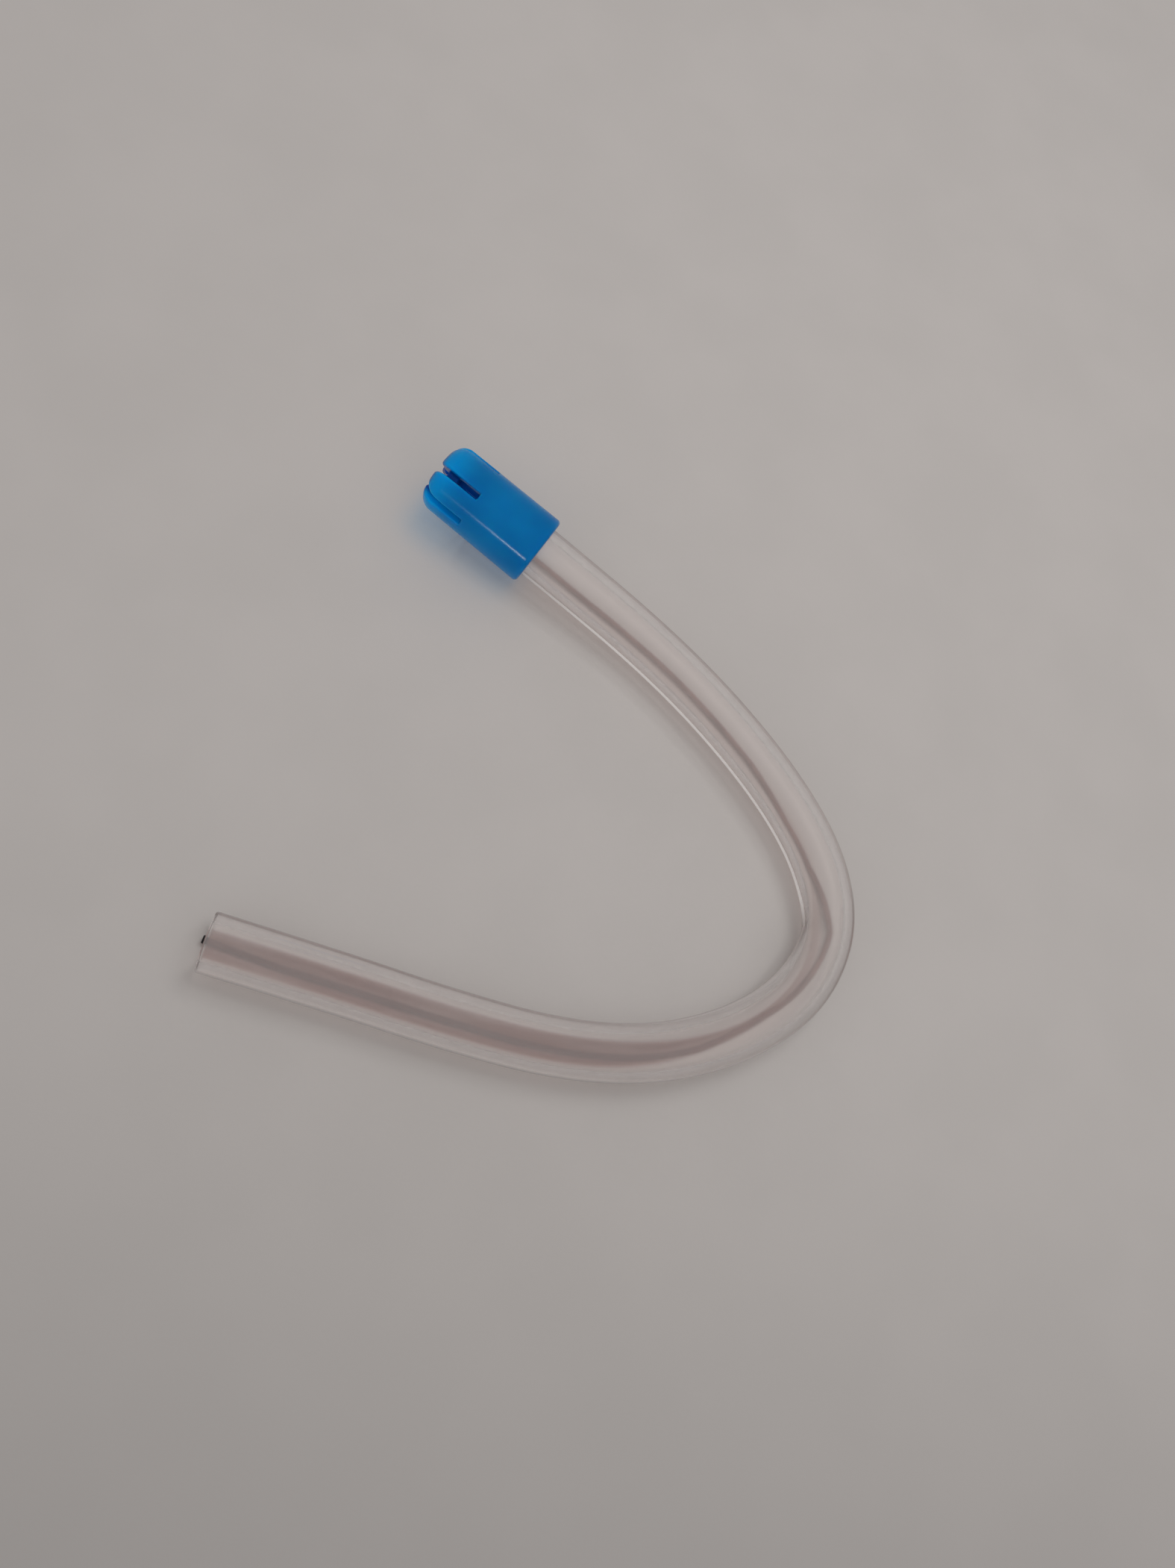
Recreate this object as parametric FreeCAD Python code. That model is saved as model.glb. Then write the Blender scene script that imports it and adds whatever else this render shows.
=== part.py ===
import FreeCAD, Part
import math
import os

# A disposable saliva ejector: a clear soft tube bent into a hook, a wire sealed in the tube's
# wall that holds the bend, and a slotted tip pushed over one end.
# Millimetres. +Z is up, z = 0 is the table that the hook lies on, and -X is the way that the
# tube's supply end points. The origin is the middle of the hook's box, on the table.
# The tube is one piece. It is cut into two arms and the crown between them, because the crown
# is what bends when the hook is opened or closed by hand.

Vector = FreeCAD.Vector

# Tube and wire
TUBE_OD = 6.5
TUBE_BORE = 4.2
WIRE_D = 0.9
WIRE_CHANNEL_GAP = 0.02  # between the wire and its channel in the wall, all round
WIRE_STUB = 0.3  # how far the wire stands out of the cut supply end
LYING = TUBE_OD / 2  # height of the centre line where the tube lies on the table
WIRE_DROP = (TUBE_OD + TUBE_BORE) / 4  # the wire runs in the middle of the wall, at the bottom

# Tip
TIP_LENGTH = 15.0
RIM_OD = 8.9
NECK_OD = 8.6  # where the side meets the shoulder
RIM_ROUND = 0.5
SHOULDER_ROUND = 1.9
DISH_DEPTH = 0.5  # the end face is hollowed by this much in the middle
SOCKET_GAP = 0.03  # between the tube and the socket, all round
STOP_GAP = 0.05  # between the tube's end and the socket's stop
STOP_THICKNESS = 0.5
STOP_BORE = 4.6
CAVITY_D = 5.4
CAVITY_TOP = 12.3  # above the rim
CAVITY_ROUND = 1.0
SLOT_WIDTH = 0.9
SLOT_LENGTH = 5.8  # from the end of the tip
SLOT_FLOOR_R = 2.1  # the slots run in to this radius
END_GROOVE_DEPTH = 1.3  # where the slots cross the end of the tip
# Three cuts across the tip make its six slots, two opposite each other from each cut. They are
# not evenly spaced. Degrees from the top line of the tip, towards the outside of the hook.
CUT_ANGLES = (-76.5, -22.0, 49.0)

# The centre line's corners, from inside the tip to the supply end. The tip is thicker than the
# tube and stands on its rim, so the line comes down from it to the table in the first two runs.
ROUTE = [
    Vector(-22.2, 27.77, 5.1),
    Vector(-10.8, 24.1, 4.05),
    Vector(0.6, 20.1, LYING),
    Vector(10.0, 15.5, LYING),
    Vector(18.6, 10.1, LYING),
    Vector(25.1, 4.8, LYING),
    Vector(29.5, -0.4, LYING),
    Vector(31.9, -6.4, LYING),
    Vector(31.2, -12.7, LYING),
    Vector(28.2, -18.1, LYING),
    Vector(22.4, -23.3, LYING),
    Vector(14.2, -27.6, LYING),
    Vector(4.0, -29.9, LYING),
    Vector(-8.1, -30.3, LYING),
    Vector(-21.3, -30.0, LYING),
    Vector(-34.5, -30.0, LYING),
]
ROUNDED_SHARE = 0.45  # share of the shorter run that a corner's arc takes up
CROWN_RUNS = (4, 10)  # the crown reaches from the middle of one run to the middle of the other


def unit(vector):
    return vector * (1.0 / vector.Length)


def corner(before, here, after):
    """(start, middle, end, radius) of the arc that rounds the corner here."""
    back = unit(before - here)
    on = unit(after - here)
    setback = ROUNDED_SHARE * min((before - here).Length, (after - here).Length)
    half_turn = (math.pi - back.getAngle(on)) / 2
    radius = setback / math.tan(half_turn)
    inwards = unit(back + on)
    middle = here + inwards * (radius / math.cos(half_turn) - radius)
    return here + back * setback, middle, here + on * setback, radius


def runs_and_arcs(points):
    """The straight piece of every run, as [start, end], and the arc at every corner."""
    arcs = [corner(*points[i - 1 : i + 2]) for i in range(1, len(points) - 1)]
    starts = [points[0]] + [arc[2] for arc in arcs]
    ends = [arc[0] for arc in arcs] + [points[-1]]
    return [list(ends_of_run) for ends_of_run in zip(starts, ends)], arcs


def stretch(points, first_run, last_run):
    """The centre line's edges between two runs, cut at their middles unless a run is an end."""
    runs, arcs = runs_and_arcs(points)
    if first_run > 0:
        runs[first_run][0] = (points[first_run] + points[first_run + 1]) * 0.5
    if last_run < len(runs) - 1:
        runs[last_run][1] = (points[last_run] + points[last_run + 1]) * 0.5
    edges = []
    for i in range(first_run, last_run + 1):
        edges.append(Part.LineSegment(*runs[i]).toShape())
        if i < last_run:
            edges.append(Part.Arc(*arcs[i][:3]).toShape())
    return edges


def rod(edges, diameter):
    """A round rod along straight and curved edges."""
    start = edges[0].Vertexes[0].Point
    circle = Part.Circle(start, edges[0].tangentAt(edges[0].FirstParameter), diameter / 2)
    section = Part.Wire(circle.toShape())
    return Part.Wire(edges).makePipeShell([section], True, False)


def moved_down(points):
    return [point - Vector(0, 0, WIRE_DROP) for point in points]


def tube_piece(first_run, last_run):
    centre = stretch(ROUTE, first_run, last_run)
    channel = rod(stretch(moved_down(ROUTE), first_run, last_run), WIRE_D + 2 * WIRE_CHANNEL_GAP)
    return rod(centre, TUBE_OD).cut(rod(centre, TUBE_BORE)).cut(channel)


def wire_piece(first_run, last_run):
    points = moved_down(ROUTE)
    if last_run == len(ROUTE) - 2:
        points[-1] = points[-1] + unit(points[-1] - points[-2]) * WIRE_STUB
    return rod(stretch(points, first_run, last_run), WIRE_D)


def tip_outline():
    """The tip's solid of revolution, before the slots. It stands on its rim, dome up."""
    rim_r = RIM_OD / 2
    neck_r = NECK_OD / 2
    neck_z = TIP_LENGTH - SHOULDER_ROUND
    crest_r = neck_r - SHOULDER_ROUND
    turned = math.sqrt(0.5)
    rim_arc = Part.Arc(
        Vector(rim_r - RIM_ROUND, 0, 0),
        Vector(rim_r - RIM_ROUND * (1 - turned), 0, RIM_ROUND * (1 - turned)),
        Vector(rim_r, 0, RIM_ROUND),
    )
    shoulder = Part.Arc(
        Vector(neck_r, 0, neck_z),
        Vector(crest_r + SHOULDER_ROUND * turned, 0, neck_z + SHOULDER_ROUND * turned),
        Vector(crest_r, 0, TIP_LENGTH),
    )
    dish = Part.Arc(
        Vector(crest_r, 0, TIP_LENGTH),
        Vector(crest_r / 2, 0, TIP_LENGTH - DISH_DEPTH * 0.75),
        Vector(0, 0, TIP_LENGTH - DISH_DEPTH),
    )
    foot = Part.LineSegment(Vector(0, 0, 0), Vector(rim_r - RIM_ROUND, 0, 0))
    side = Part.LineSegment(Vector(rim_r, 0, RIM_ROUND), Vector(neck_r, 0, neck_z))
    axis = Part.LineSegment(Vector(0, 0, TIP_LENGTH - DISH_DEPTH), Vector(0, 0, 0))
    edges = [curve.toShape() for curve in (foot, rim_arc, side, shoulder, dish, axis)]
    return Part.Face(Part.Wire(edges)).revolve(Vector(0, 0, 0), Vector(0, 0, 1), 360)


def tip_hollow(socket_depth):
    """The socket for the tube, its stop, and the cavity that the slots open into."""
    socket = Part.makeCylinder(TUBE_OD / 2 + SOCKET_GAP, socket_depth)
    stop = Part.makeCylinder(STOP_BORE / 2, STOP_THICKNESS, Vector(0, 0, socket_depth))
    floor = socket_depth + STOP_THICKNESS
    cavity = Part.makeCylinder(CAVITY_D / 2, CAVITY_TOP - floor, Vector(0, 0, floor))
    top_edge = [e for e in cavity.Edges if e.Length > CAVITY_D and e.CenterOfMass.z > floor + 1]
    return socket.fuse([stop, cavity.makeFillet(CAVITY_ROUND, top_edge)])


def tip_slot():
    """One slot along the side, and the groove that joins it to the others across the end."""
    beyond = 1.0
    bottom = TIP_LENGTH - SLOT_LENGTH
    slot = Part.makeBox(
        RIM_OD / 2 - SLOT_FLOOR_R + beyond,
        SLOT_WIDTH,
        SLOT_LENGTH + beyond,
        Vector(SLOT_FLOOR_R, -SLOT_WIDTH / 2, bottom),
    )
    groove_floor = TIP_LENGTH - END_GROOVE_DEPTH
    groove = Part.makeBox(
        RIM_OD / 2 + beyond,
        SLOT_WIDTH,
        END_GROOVE_DEPTH + beyond,
        Vector(0, -SLOT_WIDTH / 2, groove_floor),
    )
    return slot.fuse(groove)


def slotted_tip(socket_depth):
    tip = tip_outline().cut(tip_hollow(socket_depth))
    for cut_angle in CUT_ANGLES:
        for angle in (cut_angle, cut_angle + 180):
            slot = tip_slot()
            slot.rotate(Vector(0, 0, 0), Vector(0, 0, 1), angle)
            tip = tip.cut(slot)
    return tip


def placed_tip():
    """The tip on the tube's end, standing on its rim."""
    outwards = unit(ROUTE[0] - ROUTE[1])
    tilt = math.asin(outwards.z)
    flat_r = RIM_OD / 2 - RIM_ROUND
    rim_height = flat_r * math.cos(tilt) + RIM_ROUND * (1 - math.sin(tilt))
    past_corner = (rim_height - ROUTE[1].z) / outwards.z
    rim = ROUTE[1] + outwards * past_corner
    top = unit(Vector(0, 0, 1) - outwards * outwards.z)
    tip = slotted_tip((ROUTE[0] - rim).Length + STOP_GAP)
    turn = FreeCAD.Rotation(top, outwards.cross(top), outwards, "ZXY")
    tip.Placement = FreeCAD.Placement(rim, turn)
    print("tip's rim centre", rim, "and axis", outwards)
    return tip


def report_route():
    """Prints what the tube's bends and length come to, and its volume by section and length."""
    arcs = runs_and_arcs(ROUTE)[1]
    print("bend radii", [round(arc[3], 1) for arc in arcs])
    length = Part.Wire(stretch(ROUTE, 0, len(ROUTE) - 2)).Length
    channel_d = WIRE_D + 2 * WIRE_CHANNEL_GAP
    section = math.pi / 4 * (TUBE_OD**2 - TUBE_BORE**2 - channel_d**2)
    print("tube length", round(length, 2), "section times length", round(section * length, 1))


def build():
    last_run = len(ROUTE) - 2
    crown_start, crown_end = CROWN_RUNS
    spans = {
        "tip_arm": (0, crown_start),
        "crown": (crown_start, crown_end),
        "supply_arm": (crown_end, last_run),
    }
    nodes = {"suction_tip": placed_tip()}
    for name, span in spans.items():
        nodes["tube_" + name] = tube_piece(*span)
        nodes["wire_" + name] = wire_piece(*span)
    return nodes


def main():
    os.makedirs("parts", exist_ok=True)
    nodes = build()
    report_route()
    box = FreeCAD.BoundBox()
    for name, shape in nodes.items():
        shape.exportStep("parts/" + name + ".step")
        box.add(shape.BoundBox)
        print(name, shape.isValid(), len(shape.Solids), "volume", round(shape.Volume, 2))
    print("box", box)


main()
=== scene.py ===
import math

import bmesh
import bpy
import numpy as np
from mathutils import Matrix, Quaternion, Vector


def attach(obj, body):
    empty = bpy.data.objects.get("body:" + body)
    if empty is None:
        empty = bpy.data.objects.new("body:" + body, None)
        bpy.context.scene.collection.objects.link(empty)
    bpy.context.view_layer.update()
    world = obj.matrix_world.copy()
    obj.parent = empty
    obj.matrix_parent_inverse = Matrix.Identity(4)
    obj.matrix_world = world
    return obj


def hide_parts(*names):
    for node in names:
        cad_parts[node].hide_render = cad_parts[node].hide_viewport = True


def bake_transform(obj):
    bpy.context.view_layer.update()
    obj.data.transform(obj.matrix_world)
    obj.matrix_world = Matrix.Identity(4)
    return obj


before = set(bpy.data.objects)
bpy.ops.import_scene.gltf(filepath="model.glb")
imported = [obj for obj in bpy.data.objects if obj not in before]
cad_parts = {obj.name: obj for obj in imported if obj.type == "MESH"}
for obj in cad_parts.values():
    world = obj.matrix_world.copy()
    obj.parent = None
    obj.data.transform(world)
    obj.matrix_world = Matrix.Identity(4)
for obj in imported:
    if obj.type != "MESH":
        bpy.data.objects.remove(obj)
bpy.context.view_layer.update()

# A disposable saliva ejector: a clear vinyl tube bent into a hook, a coppered wire sealed in the
# bottom of its wall, and a slotted blue tip. Metres, +Z up, the table at z = 0.

MM = 0.001

# Tube and wire
TUBE_R = 3.25 * MM
BORE_R = 2.1 * MM
WIRE_R = 0.45 * MM
WIRE_DROP = (TUBE_R + BORE_R) / 2
WIRE_STUB = 0.6 * MM
CUT_ROUND = 0.12 * MM  # the soft edge that the blade leaves
# How the wire wanders round the wall: (mm from the tip's end, degrees from the bottom)
WIRE_WANDER = [
    (0, 4),
    (15, 4),
    (30, 11),
    (45, 9),
    (53, -6),
    (59, -1),
    (63, 23),
    (67, 42),
    (73, 21),
    (80, 1),
    (84, 3),
    (89, 14),
    (95, 10),
    (106, 4),
    (117, 0),
    (137, 2),
    (144.5, -10),
]
# The small kink on the inside of the crown, with a crease in its middle. A pinch is the share of
# the radius by which the innermost side is pressed in.
KINK_PLACE = 67.5 * MM
KINK_PINCH = 0.17
KINK_LENGTH = 5.0 * MM
CREASE_PINCH = 0.04
CREASE_LENGTH = 1.3 * MM
# The meshes' fineness
CURVE_STEPS = 14  # points along the centre line for each corner of the route
TUBE_SIDES = 64
WIRE_SIDES = 24
SHARP_ANGLE = math.radians(40)

# The centre line's corners, from inside the tip to the supply end
ROUTE = [
    Vector((-0.0222, 0.02777, 0.0051)),
    Vector((-0.0108, 0.0241, 0.00405)),
    Vector((0.0006, 0.0201, TUBE_R)),
    Vector((0.0100, 0.0155, TUBE_R)),
    Vector((0.0186, 0.0101, TUBE_R)),
    Vector((0.0251, 0.0048, TUBE_R)),
    Vector((0.0295, -0.0004, TUBE_R)),
    Vector((0.0319, -0.0064, TUBE_R)),
    Vector((0.0312, -0.0127, TUBE_R)),
    Vector((0.0282, -0.0181, TUBE_R)),
    Vector((0.0224, -0.0233, TUBE_R)),
    Vector((0.0142, -0.0276, TUBE_R)),
    Vector((0.0040, -0.0299, TUBE_R)),
    Vector((-0.0081, -0.0303, TUBE_R)),
    Vector((-0.0213, -0.0300, TUBE_R)),
    Vector((-0.0345, -0.0300, TUBE_R)),
]

# Tip, measured along its axis from the rim
TIP_LENGTH = 15.0 * MM
RIM_R = 4.45 * MM
NECK_R = 4.3 * MM
RIM_ROUND = 0.5 * MM
SHOULDER_ROUND = 1.9 * MM
DISH_DEPTH = 0.5 * MM
SOCKET_R = 3.28 * MM
SOCKET_DEPTH = 8.165 * MM
STOP_R = 2.3 * MM
STOP_THICKNESS = 0.5 * MM
STOP_OVERLAP = 1 * MM  # the stop's bore runs on into the cavity
CAVITY_R = 2.7 * MM
CAVITY_TOP = 12.3 * MM
CAVITY_ROUND = 1.0 * MM
SLOT_WIDTH = 0.9 * MM
SLOT_BOTTOM = TIP_LENGTH - 5.8 * MM
SLOT_FLOOR_R = 2.1 * MM
GROOVE_FLOOR = TIP_LENGTH - 1.3 * MM
CUT_ANGLES = [math.radians(angle) for angle in (-76.5, -22.0, 49.0)]
EDGE_ROUND = 0.2 * MM
END_EDGE_ROUND = 0.45 * MM  # the slots' edges are rounder where they cross the end
RIM_CENTRE = Vector((-0.014505, 0.025293, 0.004391))
TIP_AXIS = Vector((-0.94825, 0.30527, 0.08734)).normalized()
# How the tip's mesh is made: the voxels, and how its points settle on the shape
VOXEL = 0.16 * MM
SETTLE_ROUNDS = 6
SETTLE_STEP = 0.01 * MM
SETTLE_REACH = 0.2 * MM
LEAST_SLOPE = 0.3  # keeps the moves short at creases, where the distance has little slope

# Where the looks of the tube and wire change, as lengths from the tip's end
BAND_WIDENS = (80 * MM, 104 * MM)
BAND_DEEPENS = (60 * MM, 95 * MM)
HIGHLIGHT_SETS_IN = (8 * MM, 26 * MM)
HIGHLIGHT_ENDS = (62 * MM, 70 * MM)
HAZE_GROWS = (55 * MM, 80 * MM)
PLATING_DARKENS = (86 * MM, 104 * MM)
HIGHLIGHT_LEVEL = -0.9 * MM  # the painted highlight line's height above the centre line

# Colours, as linear red, green, blue and alpha
VINYL = (0.995, 0.965, 0.957, 1)
BROWNISH_VINYL = (0.41, 0.19, 0.165, 1)
BRIGHT_PLATING = (0.34, 0.165, 0.14, 1)
DULL_PLATING = (0.24, 0.11, 0.095, 1)
DARKER_PLATING = (0.15, 0.045, 0.04, 1)
# Painted shade for the wire's cut end
SHADED_CUT_END = (0.006, 0.004, 0.005, 1)
DARKER_BLUE = (0.0, 0.155, 0.41, 1)
LIGHTER_BLUE = (0.001, 0.19, 0.46, 1)
# Painted light for the tip's slotted end
GLOW_BLUE = (0.001, 0.27, 0.60, 1)
# Painted shade for the tip's inside and slot bottoms
SHADED_BLUE = (0.0, 0.05, 0.25, 1)
TABLE = (0.61, 0.577, 0.562, 1)
LIGHTER_TABLE = (0.63, 0.595, 0.58, 1)
SHADED_TABLE = (0.434, 0.412, 0.402, 1)
WARM_WHITE = (1.0, 0.98, 0.96)
COOL_WHITE = (0.95, 0.98, 1.0)
ROOM_WHITE = (1.0, 0.985, 0.97, 1)
# What is left of a lamp's light behind one wall of each material
BEHIND_VINYL = (0.99, 0.97, 0.965, 1)
BEHIND_VINYL_ASLANT = (0.05, 0.03, 0.03, 1)
BEHIND_WIRE = (0.55, 0.50, 0.48, 1)
BEHIND_TIP = (0.88, 0.95, 1.0, 1)
# The Mix node's colour sockets, which share their names with its other sockets
MIX_COLOURS = (6, 7)
MIX_RESULT = 2

# Floor and light
FLOOR_HALF = 2.0
FLOOR_SHADE = (-130 * MM, -10 * MM)  # along Y
GLINT_PLACE = Vector((-0.018, 0.023, 0.007))  # where the window's reflection lies on the tip
TO_WINDOW = Vector((-0.31, -0.904, 0.286))
ROOM_STRENGTH = 0.365

# Camera: where it is, the spot on the table that it looks at, and its turn about its own axis
CAMERA_PLACE = Vector((-0.02568, -0.04620, 0.12880))
CAMERA_TARGET = Vector((-0.00019, 0.00111, 0))
CAMERA_ROLL = math.radians(45.97)
LENS = 27.04  # mm, as SENSOR is
SENSOR = 36


def add_object(name, data):
    obj = bpy.data.objects.new(name, data)
    bpy.context.scene.collection.objects.link(obj)
    return obj


def make_camera():
    camera = add_object("camera", bpy.data.cameras.new("camera"))
    camera.data.lens = LENS
    camera.data.sensor_width = SENSOR
    camera.data.clip_start = 5 * MM
    forward = CAMERA_TARGET - CAMERA_PLACE
    level = forward.to_track_quat("-Z", "Y")
    camera.rotation_mode = "QUATERNION"
    camera.rotation_quaternion = level @ Quaternion((0, 0, 1), CAMERA_ROLL)
    camera.location = CAMERA_PLACE
    bpy.context.scene.camera = camera


def spline_points(points):
    """Points along the smooth line that the route's corners control."""
    curve = bpy.data.curves.new("route", "CURVE")
    curve.dimensions = "3D"
    curve.resolution_u = CURVE_STEPS
    spline = curve.splines.new("NURBS")
    spline.points.add(len(points) - 1)
    for control, point in zip(spline.points, points):
        control.co = (*point, 1)
    spline.order_u = 3
    spline.use_endpoint_u = True
    route = add_object("route", curve)
    line = bpy.data.meshes.new_from_object(route)
    path = [vertex.co.copy() for vertex in line.vertices]
    bpy.data.objects.remove(route)
    bpy.data.meshes.remove(line)
    return path


def frames_along(path):
    """For each point of the path: its length from the start, and its side, up and forward axes."""
    length = 0.0
    frames = []
    for i, point in enumerate(path):
        length += (point - path[max(i - 1, 0)]).length
        tangent = (path[min(i + 1, len(path) - 1)] - path[max(i - 1, 0)]).normalized()
        side = tangent.cross(Vector((0, 0, 1))).normalized()
        frames.append((length, side, side.cross(tangent), tangent))
    return frames


def swell(length, place, reach):
    """1 at the place, falling smoothly to 0 over the reach on both sides."""
    return math.exp(-(((length - place) / reach) ** 2))


def kinked(side, length):
    """The sideways offset of a wall point, pressed in where the crown has kinked."""
    if side <= 0:
        return side
    pinch = KINK_PINCH * swell(length, KINK_PLACE, KINK_LENGTH)
    pinch += CREASE_PINCH * swell(length, KINK_PLACE, CREASE_LENGTH)
    return side * (1 - pinch * side / TUBE_R)


def sweep(name, path, stations, count, closed):
    """A skin of rings about the path, one for each station: (index of its point, radius, pushed).

    A pushed ring is moved into the piece from its end. With closed, the last ring joins the first;
    without, both ends are capped. The attribute "straight" keeps each point's place as if the piece
    lay straight along Z.
    """
    frames = frames_along(path)
    points = []
    straight = []
    for i, radius, pushed in stations:
        length, side, up, tangent = frames[i]
        inwards = pushed if i < len(path) / 2 else -pushed
        for step in range(count):
            turn = 2 * math.pi * step / count
            aside = kinked(radius * math.cos(turn), length)
            above = radius * math.sin(turn)
            points.append(path[i] + side * aside + up * above + tangent * inwards)
            straight.append((aside, above, length + inwards))
    faces = []
    for i in range(len(stations) if closed else len(stations) - 1):
        here = i * count
        there = (i + 1) % len(stations) * count
        for j in range(count):
            k = (j + 1) % count
            faces.append((here + j, here + k, there + k, there + j))
    if not closed:
        faces.append(tuple(reversed(range(count))))
        faces.append(tuple(range(len(points) - count, len(points))))
    mesh = bpy.data.meshes.new(name)
    mesh.from_pydata(points, [], faces)
    attribute = mesh.attributes.new("straight", "FLOAT_VECTOR", "POINT")
    attribute.data.foreach_set("vector", np.array(straight).ravel())
    shape = bmesh.new()
    shape.from_mesh(mesh)
    bmesh.ops.recalc_face_normals(shape, faces=shape.faces)
    shape.to_mesh(mesh)
    shape.free()
    mesh.shade_smooth()
    mesh.set_sharp_from_angle(angle=SHARP_ANGLE)
    return add_object(name, mesh)


def make_tube(path):
    """The vinyl: outside forwards along the path, bore back again, with softened cut edges."""
    last = len(path) - 1
    stations = [(0, TUBE_R - CUT_ROUND, 0), (0, TUBE_R, CUT_ROUND)]
    stations += [(i, TUBE_R, 0) for i in range(1, last)]
    stations += [(last, TUBE_R, CUT_ROUND), (last, TUBE_R - CUT_ROUND, 0)]
    stations += [(last, BORE_R + CUT_ROUND, 0), (last, BORE_R, CUT_ROUND)]
    stations += [(i, BORE_R, 0) for i in range(last - 1, 0, -1)]
    stations += [(0, BORE_R, CUT_ROUND), (0, BORE_R + CUT_ROUND, 0)]
    return sweep("vinyl_tube", path, stations, TUBE_SIDES, True)


def make_wire(path):
    """The wire, which wanders a little round the wall and stands out of the supply end."""
    places, turns = zip(*WIRE_WANDER)
    line = []
    for point, (length, side, up, _) in zip(path, frames_along(path)):
        turn = math.radians(np.interp(length / MM, places, turns))
        line.append(point - (up * math.cos(turn) + side * math.sin(turn)) * WIRE_DROP)
    cut_place = frames_along(line)[-1][0]
    line.append(line[-1] + (line[-1] - line[-2]).normalized() * WIRE_STUB)
    stations = [(i, WIRE_R, 0) for i in range(len(line))]
    wire = sweep("coppered_wire", line, stations, WIRE_SIDES, False)
    wire.data.materials.append(wire_material(cut_place))
    return wire


def round_and(a, b, radius):
    """Distance to what is inside both a and b, with the edge between them rounded."""
    near_a = np.maximum(a + radius, 0)
    near_b = np.maximum(b + radius, 0)
    return np.minimum(np.maximum(a, b), -radius) + np.hypot(near_a, near_b)


def tip_distance(points):
    """Signed distance to the tip's surface, for points in the tip's own frame, rim at z = 0."""
    x, y, z = points.T
    r = np.hypot(x, y)
    neck_z = TIP_LENGTH - SHOULDER_ROUND
    slope = (RIM_R - NECK_R) / neck_z
    side = (r - RIM_R + slope * z) / math.hypot(1, slope)
    crest_r = NECK_R - SHOULDER_ROUND
    dish_r = (crest_r**2 + DISH_DEPTH**2) / (2 * DISH_DEPTH)
    dish_centre = TIP_LENGTH - DISH_DEPTH + dish_r
    end = np.where(r < crest_r, dish_r - np.hypot(r, z - dish_centre), z - TIP_LENGTH)
    body = round_and(side, end, SHOULDER_ROUND)
    body = round_and(body, -z, RIM_ROUND)
    socket = np.maximum(r - SOCKET_R, z - SOCKET_DEPTH)
    stop = np.maximum(r - STOP_R, z - SOCKET_DEPTH - STOP_THICKNESS - STOP_OVERLAP)
    cavity = round_and(r - CAVITY_R, z - CAVITY_TOP, CAVITY_ROUND)
    cavity = np.maximum(cavity, SOCKET_DEPTH + STOP_THICKNESS - z)
    hollow = np.minimum(np.minimum(socket, stop), cavity)
    body = round_and(body, -hollow, EDGE_ROUND)
    towards_end = np.clip((z - CAVITY_TOP) / (TIP_LENGTH - CAVITY_TOP), 0, 1)
    edge = EDGE_ROUND + (END_EDGE_ROUND - EDGE_ROUND) * towards_end
    for angle in CUT_ANGLES:
        outwards = np.abs(x * math.cos(angle) + y * math.sin(angle))
        across = np.abs(y * math.cos(angle) - x * math.sin(angle)) - SLOT_WIDTH / 2
        slot = np.maximum(np.maximum(across, SLOT_BOTTOM - z), SLOT_FLOOR_R - outwards)
        groove = np.maximum(across, GROOVE_FLOOR - z)
        body = round_and(body, -np.minimum(slot, groove), edge)
    return body


def settle_on_tip(points):
    """Moves the points onto the tip's surface along the distance's slope."""
    for _ in range(SETTLE_ROUNDS):
        distance = tip_distance(points)
        slope = np.empty_like(points)
        for axis in range(3):
            shift = np.zeros(3)
            shift[axis] = SETTLE_STEP
            rise = tip_distance(points + shift) - tip_distance(points - shift)
            slope[:, axis] = rise / (2 * SETTLE_STEP)
        steepness = np.maximum(np.linalg.norm(slope, axis=1), LEAST_SLOPE)
        move = np.clip(distance, -SETTLE_REACH, SETTLE_REACH) / steepness**2
        points = points - slope * move[:, None]
    return points


def tip_matrix():
    """The tip's own frame: rim at the origin, axis along Z, X up."""
    top = (Vector((0, 0, 1)) - TIP_AXIS * TIP_AXIS.z).normalized()
    left = TIP_AXIS.cross(top)
    matrix = np.identity(4)
    matrix[:3, 0] = top
    matrix[:3, 1] = left
    matrix[:3, 2] = TIP_AXIS
    matrix[:3, 3] = RIM_CENTRE
    return matrix


def make_tip():
    """The moulding, remeshed from its CAD solid and settled on the smooth rounded shape."""
    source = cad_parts["suction_tip"]
    tip = add_object("blue_tip", source.data.copy())
    tip.data.materials.clear()
    remesh = tip.modifiers.new("remesh", "REMESH")
    remesh.mode = "VOXEL"
    remesh.voxel_size = VOXEL
    bpy.context.view_layer.update()
    depsgraph = bpy.context.evaluated_depsgraph_get()
    mesh = bpy.data.meshes.new_from_object(tip.evaluated_get(depsgraph))
    tip.modifiers.clear()
    old = tip.data
    tip.data = mesh
    bpy.data.meshes.remove(old)
    place = tip_matrix()
    points = np.empty(len(mesh.vertices) * 3)
    mesh.vertices.foreach_get("co", points)
    points = points.reshape(-1, 3)
    local = (points - place[:3, 3]) @ place[:3, :3]
    local = settle_on_tip(local)
    points = local @ place[:3, :3].T + place[:3, 3]
    mesh.vertices.foreach_set("co", points.ravel())
    mesh.shade_smooth()
    mesh.update()
    return tip


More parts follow.
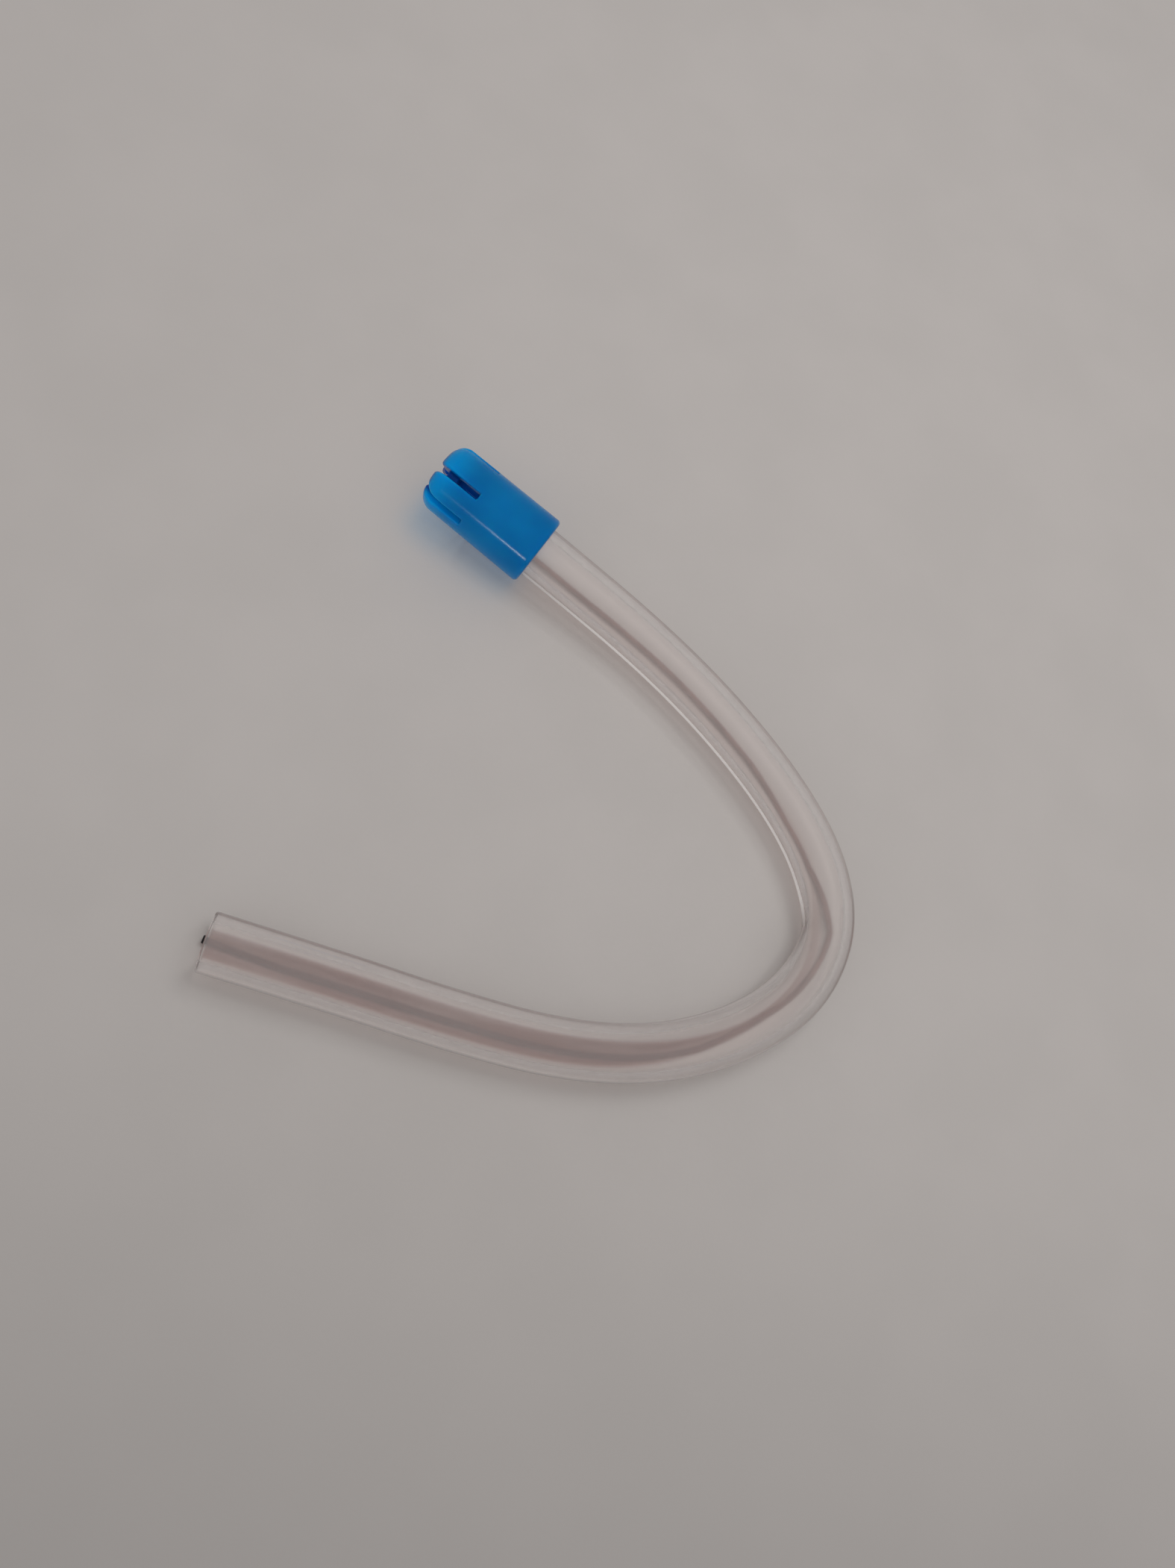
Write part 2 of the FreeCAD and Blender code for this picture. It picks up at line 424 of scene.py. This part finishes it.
class Nodes:
    """A material's shader, with short ways to add what drives it."""

    def __init__(self, name, **values):
        self.material = bpy.data.materials.new(name)
        self.material.use_nodes = True
        self.tree = self.material.node_tree
        self.shader = self.tree.nodes["Principled BSDF"]
        self.drive(**values)

    def feed(self, value, socket):
        """Links another node's output to the socket, or sets a plain value on it."""
        if isinstance(value, bpy.types.NodeSocket):
            self.tree.links.new(value, socket)
        else:
            socket.default_value = value

    def drive(self, **values):
        """Feeds the shader's own sockets. Their names have underscores here for spaces."""
        for name, value in values.items():
            self.feed(value, self.shader.inputs[name.replace("_", " ")])

    def add(self, kind, *values, **settings):
        """A new node with these settings, and these values in its first sockets."""
        node = self.tree.nodes.new("ShaderNode" + kind)
        for setting, value in settings.items():
            setattr(node, setting, value)
        for value, socket in zip(values, node.inputs):
            self.feed(value, socket)
        return node

    def attribute(self, name):
        return self.add("Attribute", attribute_name=name).outputs["Vector"]

    def object_place(self):
        return self.add("TexCoord").outputs["Object"]

    def split(self, vector):
        return self.add("SeparateXYZ", vector).outputs

    def maths(self, operation, *values):
        return self.add("Math", *values, operation=operation).outputs["Value"]

    def vector_maths(self, operation, *values):
        return self.add("VectorMath", *values, operation=operation).outputs

    def product(self, first, *others):
        for other in others:
            first = self.maths("MULTIPLY", first, other)
        return first

    def noise(self, place, lumps, detail=3.0):
        """Noise with this many lumps to the metre along each axis."""
        node = self.add("TexNoise", self.vector_maths("MULTIPLY", place, lumps)["Vector"])
        node.inputs["Scale"].default_value = 1.0
        node.inputs["Detail"].default_value = detail
        return node.outputs["Fac"]

    def ranged(self, value, low, high, to_low=0.0, to_high=1.0):
        """The value mapped smoothly from low..high to to_low..to_high, and held outside them."""
        ends = (low, high, to_low, to_high)
        return self.add("MapRange", value, *ends, interpolation_type="SMOOTHSTEP").outputs["Result"]

    def blended(self, share, first, second):
        """A colour from first at share 0 to second at share 1."""
        node = self.add("Mix", share, data_type="RGBA")
        for colour, index in zip((first, second), MIX_COLOURS):
            self.feed(colour, node.inputs[index])
        return node.outputs[MIX_RESULT]

    def bump(self, height, depth):
        node = self.add("Bump")
        self.feed(height, node.inputs["Height"])
        node.inputs["Distance"].default_value = depth
        self.drive(Normal=node.outputs["Normal"])

    def let_lamps_through(self, tint, aslant_tint=None):
        """Tints the lamps' light where it goes through the wall, instead of stopping it.

        The aslant tint takes over where the light meets the wall aslant.
        """
        if aslant_tint:
            facing = self.add("LayerWeight").outputs["Facing"]
            tint = self.blended(self.ranged(facing, 0.3, 1.0), tint, aslant_tint)
        passing = self.add("BsdfTransparent", tint)
        is_shadow = self.add("LightPath").outputs["Is Shadow Ray"]
        shaders = (self.shader.outputs["BSDF"], passing.outputs["BSDF"])
        chosen = self.add("MixShader", is_shadow, *shaders)
        self.feed(chosen.outputs["Shader"], self.tree.nodes["Material Output"].inputs["Surface"])


def brown_band(vinyl, straight):
    """How brownish the vinyl is tinted near the wire: only low in the wall, and widest and deepest
    in the supply arm.
    """
    side, up, along = vinyl.split(straight)
    width = vinyl.ranged(along, *BAND_WIDENS, 0.8 * MM, 2.4 * MM)
    widths_off = vinyl.maths("DIVIDE", vinyl.maths("ABSOLUTE", side), width)
    near = vinyl.ranged(widths_off, 0.55, 1.0, 1.0, 0.0)
    low = vinyl.ranged(up, -1.4 * MM, -0.9 * MM, 1.0, 0.0)
    patchy = vinyl.ranged(vinyl.noise(straight, (900, 900, 90)), 0.2, 0.75, 0.6, 1.0)
    deep = vinyl.ranged(along, *BAND_DEEPENS, 0.25, 1.0)
    return vinyl.product(near, low, patchy, deep)


def painted_highlight(vinyl, straight):
    """A painted highlight: how white and matt the vinyl is made in a line along the hook's inside,
    from the tip to the kink.
    """
    side, up, along = vinyl.split(straight)
    off_line = vinyl.maths("ABSOLUTE", vinyl.maths("SUBTRACT", up, HIGHLIGHT_LEVEL))
    level = vinyl.ranged(off_line, 0.5 * MM, 0.85 * MM, 1.0, 0.0)
    inner = vinyl.ranged(side, 2.3 * MM, 2.5 * MM)
    begun = vinyl.ranged(along, *HIGHLIGHT_SETS_IN, 0.6, 1.0)
    not_ended = vinyl.ranged(along, *HIGHLIGHT_ENDS, 1.0, 0.0)
    return vinyl.product(level, inner, begun, not_ended)


def clearness(vinyl, straight, highlight):
    """How clear the vinyl is: hazier where it is seen edge-on, and not at all on the painted
    highlight line.
    """
    side, _, along = vinyl.split(straight)
    edge_on = vinyl.ranged(vinyl.maths("ABSOLUTE", side), 2.7 * MM, 3.2 * MM)
    haze = vinyl.product(edge_on, vinyl.ranged(along, *HAZE_GROWS, 0.1, 0.3))
    off_highlight = vinyl.ranged(highlight, 0.0, 1.0, 1.0, 0.0)
    return vinyl.product(vinyl.maths("SUBTRACT", 0.9, haze), off_highlight)


def vinyl_material():
    """Clear soft vinyl, tinted brownish low in the wall near the wire, with a painted highlight: a
    white line along the inside of the bend.
    """
    vinyl = Nodes("clear_vinyl", IOR=1.45)
    straight = vinyl.attribute("straight")
    # The painted highlight: a white, matt, opaque line along the inside of the bend
    highlight = painted_highlight(vinyl, straight)
    # Fine lines that the extruder's die leaves
    die_lines = vinyl.noise(straight, (2200, 2200, 40))
    polish = vinyl.ranged(die_lines, 0.3, 0.7, 0.14, 0.18)
    vinyl.drive(
        Base_Color=vinyl.blended(brown_band(vinyl, straight), VINYL, BROWNISH_VINYL),
        Transmission_Weight=clearness(vinyl, straight, highlight),
        Roughness=vinyl.maths("ADD", polish, vinyl.product(highlight, 0.4)),
    )
    vinyl.bump(die_lines, 0.0008 * MM)
    vinyl.let_lamps_through(BEHIND_VINYL, BEHIND_VINYL_ASLANT)
    return vinyl.material


def wire_material(cut_place):
    """Coppery plating with drawing lines and dull patches, darker in the supply arm, and painted
    shade at the cut: near black and not metallic.
    """
    wire = Nodes("coppered_wire")
    straight = wire.attribute("straight")
    _, _, along = wire.split(straight)
    dull = wire.noise(straight, (500, 500, 220))
    plating = wire.blended(wire.ranged(dull, 0.35, 0.7), BRIGHT_PLATING, DULL_PLATING)
    # The plating is darker in the supply arm
    plating = wire.blended(wire.ranged(along, *PLATING_DARKENS), plating, DARKER_PLATING)
    # Painted shade: the cut end is near black and not metallic
    cut = wire.ranged(along, cut_place, cut_place + 0.1 * MM)
    wire.drive(
        Base_Color=wire.blended(cut, plating, SHADED_CUT_END),
        Roughness=wire.ranged(dull, 0.35, 0.7, 0.38, 0.65),
        Metallic=wire.ranged(cut, 0.0, 1.0, 0.35, 0.0),
    )
    wire.bump(wire.noise(straight, (9000, 9000, 60)), 0.01 * MM)
    # The tube bends light in behind the wire, so that its shadow is only half dark
    wire.let_lamps_through(BEHIND_WIRE)
    return wire.material


def tip_material():
    """Blue moulded plastic, a little translucent, with a fine satin skin, painted lighter at the
    slotted end and painted darker inside.
    """
    tip = Nodes(
        "blue_tip",
        Subsurface_Weight=1.0,
        Subsurface_Scale=2.2 * MM,
        Subsurface_Radius=(0.05, 0.55, 1.0),
        Specular_IOR_Level=0.12,
    )
    place = tip.object_place()
    flow = tip.noise(place, (160, 160, 160), 2.0)
    colour = tip.blended(tip.ranged(flow, 0.3, 0.7), DARKER_BLUE, LIGHTER_BLUE)
    # Painted light: the slotted end is lighter, standing in for the light that gets through its
    # thin walls
    from_rim = tip.vector_maths("SUBTRACT", place, RIM_CENTRE)["Vector"]
    height = tip.vector_maths("DOT_PRODUCT", from_rim, TIP_AXIS)["Value"]
    end_glow = tip.ranged(height, 10.5 * MM, 14.0 * MM)
    colour = tip.blended(end_glow, colour, GLOW_BLUE)
    # Painted shade: the slots' bottoms and the inside are dark, as little light gets down to them
    outwards = tip.vector_maths("CROSS_PRODUCT", from_rim, TIP_AXIS)["Vector"]
    from_axis = tip.vector_maths("LENGTH", outwards)["Value"]
    deep = tip.ranged(from_axis, 2.6 * MM, 3.8 * MM, 1.0, 0.0)
    colour = tip.blended(deep, colour, SHADED_BLUE)
    grain = tip.noise(place, (5000, 5000, 5000))
    tip.drive(Base_Color=colour, Roughness=tip.ranged(grain, 0.3, 0.7, 0.10, 0.16))
    tip.bump(grain, 0.003 * MM)
    tip.let_lamps_through(BEHIND_TIP)
    return tip.material


def floor_material():
    """A plain pale table top with a faint mottle, shaded towards -Y."""
    floor = Nodes("floor")
    place = floor.object_place()
    mottle = floor.noise(place, (60, 60, 60))
    colour = floor.blended(floor.ranged(mottle, 0.3, 0.7), TABLE, LIGHTER_TABLE)
    _, ahead, _ = floor.split(place)
    shade = floor.ranged(ahead, *FLOOR_SHADE, 1.0, 0.0)
    colour = floor.blended(shade, colour, SHADED_TABLE)
    grain = floor.noise(place, (1500, 1500, 1500))
    floor.drive(Base_Color=colour, Roughness=floor.ranged(grain, 0.3, 0.7, 0.6, 0.75))
    floor.bump(grain, 0.01 * MM)
    return floor.material


def make_floor():
    mesh = bpy.data.meshes.new("floor")
    signs = ((-1, -1), (1, -1), (1, 1), (-1, 1))
    corners = [(x * FLOOR_HALF, y * FLOOR_HALF, 0) for x, y in signs]
    mesh.from_pydata(corners, [], [(0, 1, 2, 3)])
    floor = add_object("floor", mesh)
    mesh.materials.append(floor_material())


def area_light(name, place, size, power, colour, target=Vector((0, 0, 0))):
    """A lamp that is not seen itself, neither straight, nor through the tube, nor in gloss."""
    light = bpy.data.lights.new(name, "AREA")
    light.shape = "RECTANGLE"
    light.size, light.size_y = size
    light.energy = power
    light.color = colour
    lamp = add_object(name, light)
    lamp.location = place
    lamp.rotation_mode = "QUATERNION"
    lamp.rotation_quaternion = (target - place).to_track_quat("-Z", "Y")
    lamp.visible_camera = False
    lamp.visible_transmission = False
    lamp.visible_glossy = False
    return lamp


def light_only(lamp, *pieces):
    """Keeps the lamp's light off everything but these pieces."""
    lit = bpy.data.collections.new(lamp.name)
    for piece in pieces:
        lit.objects.link(piece)
    lamp.light_linking.receiver_collection = lit


def make_lights(tube, tip):
    """A soft key for everything, a fill for the tube and tip, and a window that the tip reflects.

    On the floor the fill would cast a second shadow, and on the tube the window would add streaks.
    """
    area_light("key", Vector((0.05, 0.11, 0.36)), (0.18, 0.18), 0.50, WARM_WHITE)
    fill = area_light("fill", Vector((-0.25, -0.50, 0.30)), (0.5, 0.5), 1.1, WARM_WHITE)
    light_only(fill, tip, tube)
    window_place = GLINT_PLACE + TO_WINDOW
    window = area_light("window", window_place, (0.035, 0.08), 0.45, COOL_WHITE, GLINT_PLACE)
    window.visible_glossy = True
    light_only(window, tip)


def make_room():
    """The even light that comes from all round."""
    world = bpy.data.worlds.new("room")
    bpy.context.scene.world = world
    world.use_nodes = True
    background = world.node_tree.nodes["Background"]
    background.inputs["Color"].default_value = ROOM_WHITE
    background.inputs["Strength"].default_value = ROOM_STRENGTH


def build_tube_and_wire():
    path = spline_points(ROUTE)
    tube = make_tube(path)
    wire = make_wire(path)
    tube.data.materials.append(vinyl_material())
    for piece in (tube, wire):
        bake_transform(piece)
    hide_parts("tube_tip_arm", "tube_crown", "tube_supply_arm")
    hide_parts("wire_tip_arm", "wire_crown", "wire_supply_arm")
    return tube


def build_tip():
    tip = make_tip()
    tip.data.materials.append(tip_material())
    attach(tip, "tip")
    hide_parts("suction_tip")
    return tip


make_camera()
tube = build_tube_and_wire()
tip = build_tip()
make_floor()
make_lights(tube, tip)
make_room()
bpy.context.scene.view_settings.view_transform = "Standard"
